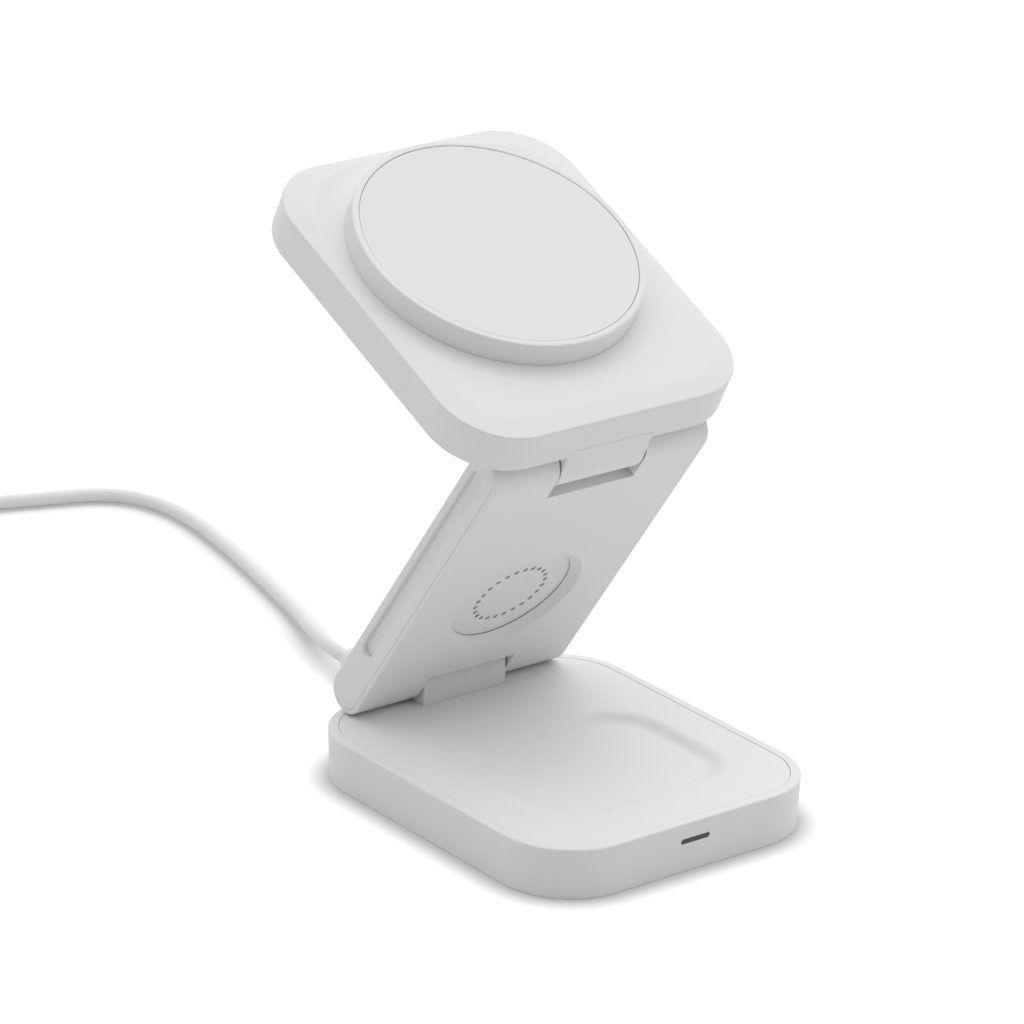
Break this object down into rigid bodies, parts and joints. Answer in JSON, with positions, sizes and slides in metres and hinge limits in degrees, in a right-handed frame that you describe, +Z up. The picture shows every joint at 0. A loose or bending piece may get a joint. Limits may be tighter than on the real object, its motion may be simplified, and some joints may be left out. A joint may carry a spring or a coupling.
{
  "type": "folding wireless charger",
  "caption": "Folding white wireless charger: flat base with a shallow earbud recess, a hinged arm with a stowed watch flap, and a tilting phone pad with a raised round puck, on a coiled lead.",
  "frame": {"origin": "middle of the base's footprint, on the floor", "axes": "+Z up; -Y towards the front edge with the light; +X to the right seen from the front; both hinge axes lie along X"},
  "size_m": [0.1089, 0.237, 0.1178],
  "materials": {
    "white_shell": "fine satin",
    "white_top": "fine satin",
    "puck_face": "soft matte",
    "foot_rubber": "matte",
    "steel": "brushed",
    "bronze": "turned",
    "copper": "enamelled wire",
    "ferrite": "sintered",
    "magnet": "plated",
    "board": "lacquered",
    "light": "frosted",
    "plug_white": "satin",
    "cord_white": "smooth satin",
    "tie": "woven"
  },
  "bodies": {
    "base": {"base_shell": "white_shell", "base_top_plate": "white_top", "base_foot": "foot_rubber", "base_screws": "steel", "base_ballast": "steel", "main_board": "board", "earbud_coil": "copper", "earbud_ferrite": "ferrite", "charging_socket": "steel", "light_pipe": "light", "light_board": "board", "lower_hinge_sleeve": "bronze", "plug_nose": "steel", "plug_body": "plug_white", "plug_relief": "plug_white", "cord_lead": "cord_white", "cord_coil": "cord_white", "cord_tie": "tie", "cord_tail": "cord_white", "far_plug_relief": "plug_white", "far_plug_body": "plug_white", "far_plug_nose": "steel"},
    "arm": {"arm_housing": "white_shell", "arm_cap_left": "white_shell", "arm_cap_right": "white_shell", "lower_hinge_pin": "steel", "upper_hinge_pin": "steel", "hinge_clips": "steel", "watch_flap_shell": "white_shell", "watch_flap_cover": "white_top", "watch_flap_pin": "steel", "watch_coil": "copper", "watch_ferrite": "ferrite", "watch_magnet": "magnet"},
    "pad": {"pad_shell": "white_shell", "pad_bottom_cover": "white_top", "pad_board": "board", "puck_ring": "white_shell", "puck_face": "puck_face", "phone_coil": "copper", "phone_ferrite": "ferrite", "phone_magnets": "magnet", "upper_hinge_sleeve": "bronze"}
  },
  "joints": [
    {"name": "base_hinge", "type": "hinge", "parent": "base", "child": "arm", "pos_m": [0, 0.0354, 0.0154], "axis": [-1, 0, 0], "range_deg": [-55.2, 34.8]},
    {"name": "pad_hinge", "type": "hinge", "parent": "arm", "child": "pad", "pos_m": [0, -0.00421, 0.07239], "axis": [1, 0, 0], "range_deg": [-79.9, 10.1]}
  ]
}
